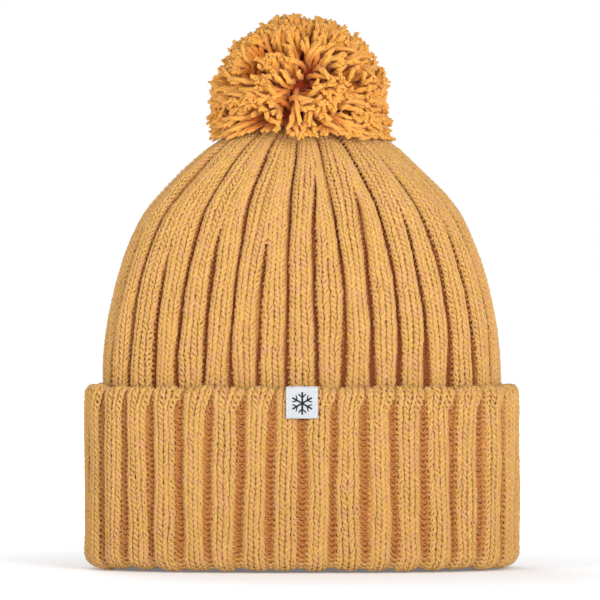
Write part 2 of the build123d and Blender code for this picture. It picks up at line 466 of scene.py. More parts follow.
# Spread from stitch to stitch of a loop's lean, place, reach and yarn thickness
LEAN_SPREAD, PLACE_SPREAD, REACH_SPREAD, YARN_SPREAD = 0.05, 0.02, 0.09, 0.07


def toward_neighbour(values, local, ease):
    """Each stitch's value running over to its neighbour's, half and half at their shared edge."""
    ahead = np.roll(values, -1)[:, None]
    behind = np.roll(values, 1)[:, None]
    share = 0.5 * (2 * np.minimum(np.abs(local), 0.5)) ** ease
    return values[:, None] * (1 - share) + np.where(local > 0, ahead, behind) * share


def knit_row(tubes, profile, s_row, columns, start_turn, row_seed, hollow_depth):
    """One closed row of loops laid on the profile surface."""
    source = np.random.default_rng(row_seed)
    centre, share, sunk, kind, tilt, width_mm = row_layout(profile, s_row, columns, start_turn)
    n = len(centre)
    phase = (np.arange(RING_STEPS) / RING_STEPS - 0.5) * 2 * np.pi
    lean = LEAN_SPREAD * source.normal(0, 1, n)
    centre = centre + PLACE_SPREAD * share * source.normal(0, 1, n)
    local = phase / (2 * np.pi) + LOOP_SPREAD * np.sin(2 * phase) + lean[:, None] * np.cos(phase)
    reach = LOOP_REACH * COURSE * (1 + REACH_SPREAD * source.normal(0, 1, n))
    turn = centre[:, None] + share[:, None] * local
    rise = reach[:, None] * np.cos(phase) + PURL_SLANT * tilt[:, None] * local
    floor = toward_neighbour(sunk, local, EDGE_ROUNDNESS)
    face = toward_neighbour(kind, local, 1.0)
    wave = -face * np.cos(2 * phase)
    turn, rise, floor, wave = (a.ravel() for a in (turn, rise, floor, wave))
    s = s_row + rise
    mm_turn = np.repeat(width_mm / share, RING_STEPS)
    turn = turn + DRIFT * drift_field(turn, s) / mm_turn
    at, normal = profile.at(turn, s)
    lift = floor + LOOP_DEPTH * wave + SWELL * swell_field(turn, s)
    path = at + normal * lift[:, None]
    squeeze = np.clip(np.repeat(width_mm, RING_STEPS) / KNIT_WIDTH, 0.3, 1.05)
    thick = 1 + YARN_SPREAD * source.normal(0, 1, n).repeat(RING_STEPS)
    radius = YARN_RADIUS * (0.6 + 0.4 * squeeze) * thick
    # Masks for painted shade: hollow grows with the depth down a groove, tuck where the yarn dives behind.
    shades = {"hollow": np.clip(-floor / hollow_depth, 0, 1), "tuck": 0.5 - 0.5 * wave}
    tubes.add(path[None], normal[None], radius, YARN_SIDES, True, row=row_seed % 64, **shades)


# ---- materials
class Nodes:
    """Short way to build a node tree: call a node type with its settings and its input links or values."""

    def __init__(self, name):
        self.material = bpy.data.materials.new(name)
        self.material.use_nodes = True
        self.tree = self.material.node_tree
        self.tree.nodes.clear()

    def make(self, kind, inputs=None, **settings):
        node = self.tree.nodes.new("ShaderNode" + kind)
        for key, value in settings.items():
            setattr(node, key, value)
        for key, value in (inputs or {}).items():
            socket = node.inputs[key]
            if isinstance(value, bpy.types.NodeSocket):
                self.tree.links.new(value, socket)
            else:
                socket.default_value = value
        return node

    def maths(self, operation, a, b=0.0, c=0.0):
        return self.make("Math", {0: a, 1: b, 2: c}, operation=operation).outputs[0]

    def plus(self, a, b):
        return self.maths("ADD", a, b)

    def times(self, a, b):
        return self.maths("MULTIPLY", a, b)

    def sine(self, a):
        return self.maths("SINE", a)

    def place(self):
        return self.make("TexCoord").outputs["Object"]

    def pattern_uv(self):
        """The lengths or counts along and across that the mesh carries."""
        uv = self.make("UVMap", uv_map="yarn").outputs[0]
        return self.make("SeparateXYZ", {0: uv}).outputs[:2]

    def noise(self, vector, scale, detail=2.0, roughness=0.5):
        inputs = {"Vector": vector, "Scale": scale, "Detail": detail, "Roughness": roughness}
        return self.make("TexNoise", inputs).outputs["Fac"]

    def band(self, value, low, high, to_low=0.0, to_high=1.0):
        inputs = {"Value": value, "From Min": low, "From Max": high, "To Min": to_low, "To Max": to_high}
        return self.make("MapRange", inputs, interpolation_type="SMOOTHSTEP").outputs["Result"]

    def mix(self, share, a, b):
        return self.make("Mix", {0: share, 6: a, 7: b}, data_type="RGBA").outputs[2]

    def attribute(self, name):
        return self.make("Attribute", attribute_name=name).outputs["Fac"]

    def finish(self, colour, roughness, height, distance, sheen, sheen_tint=(1, 0.8, 0.5, 1)):
        bump = self.make("Bump", {"Height": height, "Strength": 1.0, "Distance": distance})
        inputs = {"Base Color": colour, "Roughness": roughness, "Normal": bump.outputs[0]}
        inputs |= {"Specular IOR Level": 0.2, "Sheen Weight": sheen, "Sheen Roughness": 0.5}
        shader = self.make("BsdfPrincipled", inputs | {"Sheen Tint": sheen_tint})
        self.make("OutputMaterial", {"Surface": shader.outputs[0]})
        return self.material


def heather_yarn(name, ochre, cream, rust, olive, rose, purl, deep_shade, sheen, tuck_shade, fuzz=0.00022):
    """Brushed yarn spun from mixed fibres: streaks of several dyes along the yarn, plied, fuzzy.

    purl and deep are colours of painted shade, purl the lighter and deep the darkest; tuck_shade is how
    far painted shade darkens yarn that dives behind; fuzz is the height of its relief in metres."""
    n = Nodes(name)
    along, around = n.pattern_uv()
    angle = n.times(around, 2 * math.pi)
    side = n.plus(n.sine(angle), n.times(n.attribute("row"), 3.7))
    inputs = {0: n.times(along, 0.28), 1: side, 2: n.maths("COSINE", angle)}
    fibre = n.make("CombineXYZ", inputs).outputs[0]
    streak = n.noise(fibre, 2.4, 3.0, 0.65)
    patch = n.noise(fibre, 0.9)
    fleck = n.noise(fibre, 4.2, 1.0)
    place = n.place()
    drift = n.noise(place, 110.0)
    blush = n.noise(place, 330.0, 1.0)
    colour = n.mix(n.band(streak, 0.38, 0.66), ochre, cream)
    colour = n.mix(n.band(patch, 0.50, 0.64, 0.0, 0.8), colour, olive)
    colour = n.mix(n.band(drift, 0.50, 0.70, 0.0, 0.45), colour, rose)
    colour = n.mix(n.band(blush, 0.52, 0.64, 0.0, 0.6), colour, rose)
    colour = n.mix(n.band(fleck, 0.60, 0.70, 0.0, 0.85), colour, rust)
    # Painted shade: the yarn darkens towards purl, then deep, by hollow (depth down a groove, and on the
    # pompom depth into the ball) and by tuck (how far the yarn dives behind; on the pompom a random tone
    # per tuft).
    hollow = n.attribute("hollow")
    tuck = n.attribute("tuck")
    colour = n.mix(n.band(tuck, 0.25, 0.95, 0.0, tuck_shade), colour, purl)
    colour = n.mix(n.band(hollow, 0.12, 0.62, 0.0, 0.85), colour, purl)
    buried = n.times(hollow, n.maths("MULTIPLY_ADD", tuck, 0.75, 0.35))
    buried = n.plus(buried, n.band(hollow, 0.78, 1.0, 0.0, 0.4))
    colour = n.mix(n.band(buried, 0.26, 0.62, 0.0, 0.95), colour, deep_shade)
    twist = n.sine(n.plus(n.times(angle, 2.0), n.times(along, 2.1)))
    hair = n.noise(fibre, 9.0, 2.0, 0.6)
    height = n.plus(n.times(twist, 0.35), n.times(hair, 1.4))
    return n.finish(colour, 0.92, height, fuzz, sheen)


KNIT_YARN = heather_yarn(
    "heather_knit_yarn",
    ochre=(0.548, 0.271, 0.055, 1),
    cream=(0.700, 0.442, 0.162, 1),
    rust=(0.470, 0.164, 0.030, 1),
    olive=(0.548, 0.343, 0.062, 1),
    rose=(0.600, 0.295, 0.145, 1),
    # colours of painted shade, down in the grooves and where the yarn dives behind
    purl=(0.455, 0.155, 0.030, 1),
    deep_shade=(0.260, 0.050, 0.005, 1),
    sheen=0.25,
    tuck_shade=0.35,
    fuzz=0.00016,
)


def knit_lining():
    """The fabric under and behind the loops, with the rows of the reverse side in relief; painted shade
    darkens it in the dips between the reverse side's bumps and down in the grooves.
    """
    n = Nodes("knit_reverse")
    column, row = n.pattern_uv()
    place = n.place()
    wander = n.times(n.noise(place, 260.0), 0.9)
    up_down = n.sine(n.plus(n.times(row, 2 * math.pi), wander))
    across = n.maths("ABSOLUTE", n.sine(n.plus(n.times(column, math.pi), wander)))
    bumps = n.times(up_down, across)
    streak = n.noise(place, 700.0, 2.0, 0.6)
    drift = n.noise(place, 120.0)
    colour = n.mix(n.band(streak, 0.35, 0.65), (0.58, 0.26, 0.050, 1), (0.66, 0.33, 0.08, 1))
    colour = n.mix(n.band(drift, 0.5, 0.7, 0, 0.5), colour, (0.46, 0.19, 0.08, 1))
    # Painted shade: darker in the dips between the reverse side's bumps and down in the grooves.
    colour = n.mix(n.band(bumps, 0.4, -0.6, 0, 0.4), colour, (0.30, 0.09, 0.014, 1))
    colour = n.mix(n.band(n.attribute("hollow"), 0.2, 0.9), colour, (0.30, 0.060, 0.006, 1))
    return n.finish(colour, 0.95, n.plus(bumps, n.times(streak, 0.5)), 0.0009, 0.2)


LINING = knit_lining()


# ---- knitted fabric
ROWS_PER_PIECE = 11
HOLLOW_DEPTH = 4.0  # depth below the rib tops at which the painted shade on the yarn is darkest
CROWN_START = -(KNIT_WIDTH / 29.1) / GROUPS  # where the first pair of ribs begins, as a share of a turn
CUFF_START = -0.02357
CORE_DEPTH = -0.75  # the sheet's outer face, under the loops


def spaced(low, high, step):
    return np.linspace(low, high, max(2, round((high - low) / step) + 1))


def knit_pieces(name, profile, first_s, last_s, columns, start_turn, seed, hollow_depth):
    """Rows of loops from one length along the profile to another, grouped into pieces."""
    rows = spaced(first_s, last_s, COURSE)
    for first in range(0, len(rows), ROWS_PER_PIECE):
        tubes = Tubes()
        for index, s in enumerate(rows[first : first + ROWS_PER_PIECE]):
            knit_row(tubes, profile, s, columns, start_turn, seed + first + index, hollow_depth)
        tubes.build(f"{name}_{first // ROWS_PER_PIECE + 1:02d}", "hat", KNIT_YARN)


def fabric_core(name, profile, levels, columns, start_turn, inner, reverse):
    """A closed sheet under the loops, ribbed with them; its back face shows the reverse side's ribs."""
    samples = RIBS * 12
    turns = np.arange(samples) / samples
    grid_out, grid_in, low = [], [], []
    for s in levels:
        centre, share, sunk, *_ = row_layout(profile, s, columns, start_turn)
        across = np.linspace(-0.45, 0.45, 9)[None]
        span = (centre[:, None] + share[:, None] * across).ravel()
        wall = toward_neighbour(sunk, across, EDGE_ROUNDNESS).ravel()
        relief = np.interp(turns, join([span - 1, span, span + 1]), np.tile(wall, 3))
        at, normal = profile.at(turns, np.full(samples, s))
        grid_out.append(at + normal * (relief + CORE_DEPTH)[:, None])
        grid_in.append(at + normal * (inner + reverse * relief)[:, None])
        # Mask for painted shade down the grooves, as on the loops.
        low.append(np.clip(-relief / HOLLOW_DEPTH, 0, 1))
    rows = len(levels)
    count = rows * samples
    front = grid_quads(rows, samples, wrap=True)
    j = np.arange(samples)
    rims = []
    for first, flip in ((0, True), (count - samples, False)):
        a, b = first + j, first + (j + 1) % samples
        rim = np.stack([a, b, b + count, a + count], -1)
        rims.append(rim[:, ::-1] if flip else rim)
    faces = join([front, front[..., ::-1] + count]).reshape(-1, 4)
    faces = join([faces, *rims])

    u, v = np.meshgrid(turns, np.arange(rows - 1) / (rows - 1))
    sheet = cell_corners(u, v, 1 / samples, 1 / (rows - 1))
    strip_u = np.stack([j, j + 1, j + 1, j], -1) / samples
    strip = np.stack([strip_u, np.broadcast_to([0.0, 0.0, 0.01, 0.01], strip_u.shape)], -1)
    parts = [sheet, sheet[:, ::-1], strip, strip]
    spots = [((1, 0.48), 0), ((1, 0.48), 0.5), ((1, 1), 0.982), ((1, 1), 0.484)]
    bake = join([part * size + (0, up) for part, (size, up) in zip(parts, spots)])
    pattern = join(parts) * (RIBS * 4, (levels[-1] - levels[0]) / COURSE)
    if profile.facing < 0:
        faces, pattern, bake = (a[:, ::-1] for a in (faces, pattern, bake))
    points = join([join(grid_out), join(grid_in)])
    values = {"hollow": join([*low, np.zeros(count)])}
    return make_object(name, points, faces, "hat", LINING, values, pattern, bake)


crown_ends = CUFF_LINE - 9.0, CROWN.length - 1.5
cuff_ends = CUFF_TOP - 11.0, CUFF.length - 19.0
knit_pieces("crown_loops", CROWN, *crown_ends, crown_columns, CROWN_START, 100, 0.94 * HOLLOW_DEPTH)
knit_pieces("cuff_loops", CUFF, *cuff_ends, cuff_columns, CUFF_START, 300, 1.2 * HOLLOW_DEPTH)
crown_levels = spaced(0.5, CROWN.length - 1.0, 3.0)
cuff_levels = spaced(0.5, CUFF.length - 0.5, 2.4)
crown_core = fabric_core("crown_fabric", CROWN, crown_levels, crown_columns, CROWN_START, -4.6, -0.25)
cuff_core = fabric_core("cuff_fabric", CUFF, cuff_levels, cuff_columns, CUFF_START, -2.2, 1.0)
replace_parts(crown_core, "knit_crown")
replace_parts(cuff_core, "turned_cuff")

# ---- pompom
ball_high = node_box("pompom")[1]
BALL_CENTRE = np.array([0.0, 0.0, 243.5])
BALL_HALF_WIDTH = ball_high[0] - 2.2
BALL_RISE = ball_high[2] - BALL_CENTRE[2] - 1.0
BALL_DROP = 29.0
UPPER_POWER, LOWER_POWER = 2.0, 7.0  # a round top and a squarer underside
STRANDS = 2400
TUFTS = 190
PLIES = 3
STRAND_STEPS = 9
STRAND_SIDES = 4
GOLDEN_TURN = math.pi * (3 - math.sqrt(5))
# Directions in which the strands part, each with its push and its reach in radians
PARTINGS = [
    ((-0.25, -1.0, 0.60), 0.17, 0.12),
    ((-0.16, -1.0, 0.38), 0.17, 0.12),
    ((0.00, -1.0, 0.14), 0.12, 0.10),
    ((-0.62, -1.0, -0.10), 0.12, 0.10),
    ((-0.10, -1.0, -0.25), 0.12, 0.10),
    ((0.10, 1.0, 0.25), 0.17, 0.12),
    ((-0.35, 0.9, -0.10), 0.14, 0.12),
    ((1.0, 0.1, 0.30), 0.14, 0.12),
    ((-1.0, 0.2, 0.35), 0.14, 0.12),
    ((0.10, 0.2, 1.0), 0.14, 0.12),
]
# The two ends of the wound yarn's axis, from which all strands lean away
WINDING_ENDS = [(-0.12, -1.0, 0.22), (0.10, 1.0, 0.10)]
# Directions in which the ball is trimmed flatter, and by what share
FLATTER = np.array([[0.80, -0.10, 0.60], [0.97, -0.05, 0.20], [-0.96, 0.0, 0.28]])
FLATTER_BY = [0.085, 0.085, 0.02]
STRAND_ROOT = 0.36  # where a strand starts, as a share of the way out
LAY_LENGTH = 11.0  # length of one twist of the plies


def spread_directions(count, jitter, source):
    """Unit vectors spread evenly over the sphere, then jittered."""
    index = np.arange(count) + 0.5
    z = 1 - 2 * index / count
    ring = np.sqrt(1 - z * z)
    even = xyz(ring * np.cos(index * GOLDEN_TURN), ring * np.sin(index * GOLDEN_TURN), z)
    return unit(even + source.normal(0, jitter, even.shape))


def ball_radius(direction):
    """Distance from the ball's centre to its clipped outline."""
    level = np.hypot(direction[..., 0], direction[..., 1]) / BALL_HALF_WIDTH
    above = direction[..., 2] > 0
    height = np.abs(direction[..., 2]) / np.where(above, BALL_RISE, BALL_DROP)
    power = np.where(above, UPPER_POWER, LOWER_POWER)
    return (level**power + height**power) ** (-1 / power)


# The crown's ridge at each distance from the axis: its height where it is widest.
CROWN_RIDGE_RADIUS = CROWN.w[::-1]
CROWN_RIDGE_HEIGHT = CROWN.z[::-1]
RIDGE_CLEARANCE = 2.6


def rest_on_crown(points):
    """Lifts points that would sink into the crown, at any turn of the ball."""
    radius = np.hypot(points[..., 0], points[..., 1])
    ridge = np.interp(radius, CROWN_RIDGE_RADIUS, CROWN_RIDGE_HEIGHT) + RIDGE_CLEARANCE
    room = points[..., 2] - ridge
    soft, clear = 1.5, 20.0
    near = soft * np.log1p(np.exp(np.minimum(room, clear) / soft))
    lifted = ridge + np.where(room > clear, room, near)
    return join([points[..., :2], lifted[..., None]], -1)


def bell(x):
    return np.exp(-(x**2))


def away_from(centre, strand):
    """Each strand's angle from a centre, and the unit vector that leads away from it."""
    centre = unit(np.array(centre))
    facing = strand @ centre
    return np.arccos(np.clip(facing, -1, 1)), unit(strand - facing[:, None] * centre)


def pompom_strands():
    """Paths of the plies of every strand, with their radii and attributes."""
    source = np.random.default_rng(77)
    strand = spread_directions(STRANDS, 0.018, source)
    tuft = spread_directions(TUFTS, 0.05, source)
    nearest = np.argmax(strand @ tuft.T, 1)
    pull = 0.50 * (tuft[nearest] - strand) + source.normal(0, 0.16, (TUFTS, 3))[nearest]
    for centre in WINDING_ENDS:
        angle, away = away_from(centre, strand)
        pull += away * (0.40 * (1 - bell(angle / 0.45)) * bell(angle / 1.1))[:, None]
    for centre, push, reach in PARTINGS:
        angle, away = away_from(centre, strand)
        pull += away * (push * bell(angle / reach) * (1 - bell(angle / 0.05)))[:, None]
    pull *= source.uniform(0.6, 1.3, TUFTS)[nearest][:, None]
    pull += source.normal(0, 0.06, pull.shape)
    t = np.linspace(0, 1, STRAND_STEPS)
    t3 = t[None, :, None]
    sway = source.normal(0, 0.075, (STRANDS, 1, 3))
    swing = source.uniform(0, 2 * np.pi, (STRANDS, 1, 1))
    direction = unit(strand[:, None] + pull[:, None] * t3**1.3 + sway * np.sin(5.0 * t3 + swing))
    trim = 0.99 + 0.035 * source.normal(0, 1, TUFTS)[nearest] + 0.03 * source.normal(0, 1, STRANDS)
    flat = bell(np.arccos(np.clip(strand @ FLATTER.T, -1, 1)) / 0.45)
    trim = np.clip(trim, 0.86, 1.04) - flat @ FLATTER_BY
    share = STRAND_ROOT + (1 - STRAND_ROOT) * t3 * trim[:, None, None]
    path = rest_on_crown(BALL_CENTRE + direction * ball_radius(direction)[..., None] * share)
    side = unit(np.cross(strand, source.normal(0, 1, strand.shape)))
    other = np.cross(strand, side)
    length = np.linalg.norm(path[:, -1] - path[:, 0], axis=-1)
    twist = source.uniform(0, 2 * np.pi, STRANDS)[:, None] + 2 * np.pi * (length / LAY_LENGTH)[:, None] * t
    plies = []
    for ply in range(PLIES):
        angle = twist + 2 * np.pi * ply / PLIES
        spread = (0.76 + 0.10 * smooth(t, 0.7, 1.0)) * source.uniform(0.85, 1.15, (STRANDS, 1))
        shift = (np.cos(angle) * spread)[..., None] * side[:, None]
        plies.append(path + shift + (np.sin(angle) * spread)[..., None] * other[:, None])
    paths = np.stack(plies, 1)
    ragged = 1 + 0.10 * source.normal(0, 1, (STRANDS, PLIES))
    end = path[:, None, -3:-2]
    paths[:, :, -2:] = end + (paths[:, :, -2:] - end) * ragged[..., None, None]
    paths = rest_on_crown(paths)
    fluff = 0.84 + 0.30 * t - 0.40 * smooth(t, 0.90, 1.0)
    radius = fluff * 0.96 * source.uniform(0.88, 1.15, (STRANDS, 1, 1))
    # Painted shade inside the ball: hollow grows with the depth below its outline.
    depth = 1 - np.linalg.norm(path - BALL_CENTRE, axis=-1) / ball_radius(unit(path - BALL_CENTRE))
    hollow = np.clip(depth / 0.42, 0, 1)[:, None]
    row = source.uniform(0, 60, (STRANDS, 1, 1))
    shade = 0.6 * source.uniform(0, 1, TUFTS)[nearest][:, None, None]
    shade = shade + source.uniform(0, 0.4, (STRANDS, PLIES, 1))
    shape = paths.shape[:-1]
    radius, hollow, row, tuck = (np.broadcast_to(a, shape) for a in (radius, hollow, row, 0.45 * shade))
    return paths, np.broadcast_to(side[:, None, None], paths.shape), radius, hollow, row, tuck


POMPOM_YARN = heather_yarn(
    "heather_pompom_yarn",
    ochre=(0.655, 0.270, 0.028, 1),
    cream=(0.740, 0.400, 0.105, 1),
    rust=(0.620, 0.175, 0.013, 1),
    olive=(0.655, 0.330, 0.036, 1),
    rose=(0.665, 0.290, 0.080, 1),
    # colours of painted shade, deep inside the ball and on its heart
    purl=(0.570, 0.138, 0.009, 1),
    deep_shade=(0.230, 0.016, 0.002, 1),
    sheen=0.2,
    tuck_shade=0.6,
    fuzz=0.00009,
)


STRANDS_PER_PIECE = 800


def pompom():
    made = []
    strands = pompom_strands()
    for first in range(0, STRANDS, STRANDS_PER_PIECE):
        part = slice(first, first + STRANDS_PER_PIECE)
        path, normal, radius, hollow, row, tuck = (a[part].reshape(-1, *a.shape[2:]) for a in strands)
        tubes = Tubes()
        tubes.add(path, normal, radius, STRAND_SIDES, hollow=hollow, row=row, tuck=tuck)
        made.append(tubes.build(f"pompom_yarn_{first // STRANDS_PER_PIECE + 1:02d}", None, POMPOM_YARN))
    return made


def heart_radius(direction):
    lumps = 0.0
    for k, axis, phase in (
        (13, (0.8, 0.4, 0.2), 0.4),
        (17, (-0.3, 0.9, 0.1), 1.7),
        (15, (0.1, -0.3, 0.9), 2.9),
        (23, (0.6, -0.6, 0.5), 0.9),
    ):
        lumps = lumps + np.sin(k * direction @ axis + phase)
    return ball_radius(direction) * (0.64 + 0.022 * lumps)


def pompom_heart(rings=60, around=96):
    """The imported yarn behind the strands: a lumpy ball of quads, its poles closed by flat caps."""
    polar = np.linspace(0.06, np.pi - 0.06, rings)[:, None]
    turn = 2 * np.pi * np.arange(around) / around
    direction = xyz(np.sin(polar) * np.cos(turn), np.sin(polar) * np.sin(turn), np.cos(polar))
    points = rest_on_crown(BALL_CENTRE + direction * heart_radius(direction)[..., None])
    quads = grid_quads(rings, around, wrap=True)[..., [0, 3, 2, 1]].reshape(-1, 4)
    v, u = np.meshgrid(np.arange(around) / around, np.arange(rings - 1) / rings)
    uv = cell_corners(u, v, 1 / rings, 1 / around) * 0.99 + 0.005
    k = np.arange(around // 2 - 1)
    caps = []
    for base, order in ((0, 1), ((rings - 1) * around, -1)):
        cap = base + np.stack([k, k + 1, around - 2 - k, around - 1 - k], -1)
        caps.append(cap[:, ::order])
    cap_uv = [[[0.001, 0.001], [0.002, 0.001], [0.002, 0.002], [0.001, 0.002]]] * (2 * len(k))
    bake = join([uv, cap_uv])
    # Full hollow and tuck paint the heart in the yarn's darkest painted shade.
    values = dict.fromkeys(["hollow", "tuck"], np.ones(rings * around))
    faces = join([quads, *caps])
    points = points.reshape(-1, 3)
    return make_object("pompom_heart", points, faces, None, POMPOM_YARN, values, bake * 40, bake)


pompom_pieces = pompom()
heart = pompom_heart()
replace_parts(heart, "pompom")
for piece in pompom_pieces + [heart]:
    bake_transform(piece)


# ---- cords
PLY_SIDES = 6


def plied(tubes, path, normal, plies, ply_radius, turns, closed=False):
    """Lays twisted plies along one path (n, 3)."""
    n = len(path)
    across, up = frame_along(path, normal, closed)
    share = np.arange(n) / (n if closed else n - 1)
    offset = ply_radius / math.sin(math.pi / plies)
    for ply in range(plies):
        angle = 2 * np.pi * (turns * share + ply / plies)
        strand = path + offset * (np.cos(angle)[:, None] * up + np.sin(angle)[:, None] * across)
        shades = {"row": ply * 5.0, "hollow": 0.0, "tuck": 0.1}
        tubes.add(strand[None], up[None], ply_radius, PLY_SIDES, closed, **shades)


def circle_path(centre, radius, axis, count):
    angle = 2 * np.pi * np.arange(count) / count
    c, s = radius * np.cos(angle), radius * np.sin(angle)
    return np.array(centre) + (xyz(c, s, 0) if axis == "Z" else xyz(0, c, s))


def middle(low, high):
    return (low + high) / 2


CORD_YARN = heather_yarn(
    "twisted_cord_yarn",
    ochre=(0.640, 0.290, 0.055, 1),
    cream=(0.760, 0.430, 0.120, 1),
    rust=(0.520, 0.170, 0.030, 1),
    olive=(0.660, 0.380, 0.070, 1),
    rose=(0.660, 0.300, 0.130, 1),
    purl=(0.420, 0.140, 0.030, 1),
    deep_shade=(0.150, 0.028, 0.004, 1),
    sheen=0.2,
    tuck_shade=0.5,
)

gather_low, gather_high = node_box("gather_cord")
gather_tube = (gather_high[2] - gather_low[2]) / 2
gather = Tubes()
gather_path = circle_path(middle(gather_low, gather_high), gather_high[0] - gather_tube, "Z", 160)
plied(gather, gather_path, (0, 0, 1.0), 3, gather_tube * 0.46, 12, closed=True)
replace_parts(gather.build("gather_yarn", "hat", CORD_YARN), "gather_cord")

tie_low, tie_high = node_box("pompom_tie")
tie_tube = (tie_high[0] - tie_low[0]) / 2
tie_reach = tie_high[1] - tie_tube
tie_centre = (0.0, 0.0, tie_high[2] - tie_tube - tie_reach)
TAIL_SPACING = 3.2
tie = Tubes()
plied(tie, circle_path(tie_centre, tie_reach, "X", 120), (1.0, 0, 0), 3, tie_tube * 0.46, 9, closed=True)


def tail_path(side, bottom, top):
    return xyz(0, side * TAIL_SPACING / 2, np.linspace(bottom, top, 24))


for side in (-1, 1):
    plied(tie, tail_path(side, tie_low[2] + 0.1, tie_centre[2] - tie_reach), (1.0, 0, 0), 3, 0.58, 2.5)
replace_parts(tie.build("pompom_tie_cord", "ball", CORD_YARN), "pompom_tie")

knot_low, knot_high = node_box("tie_knot")
knot_middle = knot_low[2] + 4.4
knot_turn = 2 * np.pi * np.arange(150) / 150
knot_path = xyz(
    (2.45 + 1.1 * np.cos(3 * knot_turn)) * np.cos(2 * knot_turn),
    (1.75 + 0.9 * np.cos(3 * knot_turn)) * np.sin(2 * knot_turn),
    knot_middle + 2.1 * np.sin(3 * knot_turn),
)
knot = Tubes()
plied(knot, knot_path, (0, 0, 1.0), 3, 0.55, 14, closed=True)
for side in (-1, 1):
    plied(knot, tail_path(side, knot_middle, knot_high[2] - 0.1), (1.0, 0, 0), 3, 0.58, 3)
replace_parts(knot.build("tie_knot_cord", "cord_end", CORD_YARN), "tie_knot")

# Back seam: two yarns linked up the inside of the back
seam_low, seam_high = node_box("back_seam")
seam_z = np.linspace(seam_low[2] + 0.6, seam_high[2] - 0.4, 260)
INNER_CROWN = crown_profile(8.6)  # in from the rib tops to the middle of the seam
rising = np.argsort(INNER_CROWN.z)
seam_y = np.interp(seam_z, INNER_CROWN.z[rising], INNER_CROWN.d[rising])
seam_y = np.clip(seam_y, seam_low[1] + 1.2, seam_high[1] - 1.2)
seam = Tubes()
plied(seam, xyz(0, seam_y, seam_z), (0, 1.0, 0), 2, 0.66, 24)
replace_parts(seam.build("back_seam_yarn", "hat", CORD_YARN), "back_seam")


# ---- woven labels
def slab(name, middle_points, normals, half, body, material):
    """A closed thin sheet from a grid of middle points (rows, columns, 3) and their normals."""
    rows, columns = middle_points.shape[:2]
    top = middle_points + normals * half
    bottom = middle_points - normals * half
    points = join([top.reshape(-1, 3), bottom.reshape(-1, 3)])
    count = rows * columns
    front = grid_quads(rows, columns).reshape(-1, 4)
    row, column = np.arange(rows - 1) * columns, np.arange(columns - 1)
    last_row, last_column = (rows - 1) * columns, columns - 1
    rims = [
        (column + 1, column),
        (last_row + column, last_row + column + 1),
        (row, row + columns),
        (row + columns + last_column, row + last_column),
    ]
    rims = [np.stack([a, b, b + count, a + count], -1) for a, b in rims]
    faces = join([front, front[:, ::-1] + count, *rims])
    down = np.cumsum(np.linalg.norm(np.diff(middle_points[:, 0], axis=0), axis=1))
    down = join([[0], down])
    scale = np.linalg.norm(middle_points[0, -1] - middle_points[0, 0]), down[-1]
    u, v = np.meshgrid(np.linspace(0, 1, columns), down / down[-1])
    uv = np.tile(np.stack([u, v], -1).reshape(-1, 2), (2, 1))[faces]
    bake = uv * (0.48, 0.98) + 0.01
    bake[len(front) :] += (0.5, 0.0)
    return make_object(name, points, faces, body, material, None, uv * scale, bake)


def woven_tape(name, thread, shade, motif=None):
    """Plain-weave tape. motif is (centre across, centre down, reach, ink) for a woven-in snowflake."""
    n = Nodes(name)
    across, down = n.pattern_uv()
    pick = 0.42
    line = 0.46  # half width of the motif's lines
    per_pick = 2 * math.pi / pick
    weave = n.times(n.sine(n.times(across, per_pick)), n.sine(n.times(down, per_pick)))
    soil = n.noise(n.place(), 420.0, 3.0)
    colour = n.mix(n.band(soil, 0.35, 0.65, 0.0, 0.5), thread, shade)
    # Painted shade in the dips of the weave.
    colour = n.mix(n.band(weave, -0.2, -0.9, 0.0, 0.35), colour, shade)
    if motif:
        centre_across, centre_down, reach, ink = motif
        x = n.maths("SUBTRACT", n.maths("SNAP", across, pick / 2), centre_across)
        y = n.maths("SUBTRACT", n.maths("SNAP", down, pick / 2), centre_down)
        radius = n.maths("SQRT", n.plus(n.times(x, x), n.times(y, y)))
        sixth = math.pi / 3
        turn = n.plus(n.maths("ARCTAN2", x, y), sixth / 2)
        folded = n.maths("SUBTRACT", n.maths("FLOORED_MODULO", turn, sixth), sixth / 2)
        along = n.times(radius, n.maths("COSINE", folded))
        off = n.maths("ABSOLUTE", n.times(radius, n.sine(folded)))
        spoke = n.maths("LESS_THAN", off, line)
        gap = n.maths("SUBTRACT", along, n.maths("MULTIPLY_ADD", off, 0.9, reach * 0.5))
        branch = n.maths("LESS_THAN", n.maths("ABSOLUTE", gap), line)
        branch = n.times(branch, n.maths("LESS_THAN", off, reach * 0.34))
        inside = n.maths("LESS_THAN", along, reach)
        colour = n.mix(n.times(n.maths("MAXIMUM", spoke, branch), inside), colour, ink)
    height = n.plus(weave, n.times(soil, 0.4))
    return n.finish(colour, 0.8, height, 0.00008, 0.15, (0.9, 0.95, 1, 1))


label_low, label_high = node_box("cuff_label")
LABEL_WIDTH = label_high[0] - label_low[0]
LABEL_SHEET = 0.55
LABEL_EDGE = 0.35  # how far the tape's side edges stay inside the CAD's
LABEL_FRONT = label_low[1] - LABEL_SHEET
LABEL_TOP = label_high[2] - 1.7
LABEL_FOOT = label_low[2] - 0.5
label_back = label_high[1] - LABEL_SHEET  # the folded-over tail, behind the cuff's top edge
corner = 1.5
arc = np.linspace(0, np.pi / 2, 7)
rise, run = corner * np.sin(arc), corner * np.cos(arc)
label_y = [np.full(30, LABEL_FRONT), LABEL_FRONT + corner - run, label_back - corner + rise]
label_y = join([*label_y, np.full(12, label_back)])
bend = LABEL_TOP - corner  # height at which the fold starts
front_z = np.linspace(LABEL_FOOT, bend, 30, endpoint=False)
back_z = np.linspace(bend, label_high[2] - 11.0, 13)[1:]
label_z = join([front_z, bend + rise, bend + run, back_z])
half_across = LABEL_WIDTH / 2 - LABEL_EDGE
across = np.linspace(-half_across, half_across, 41)
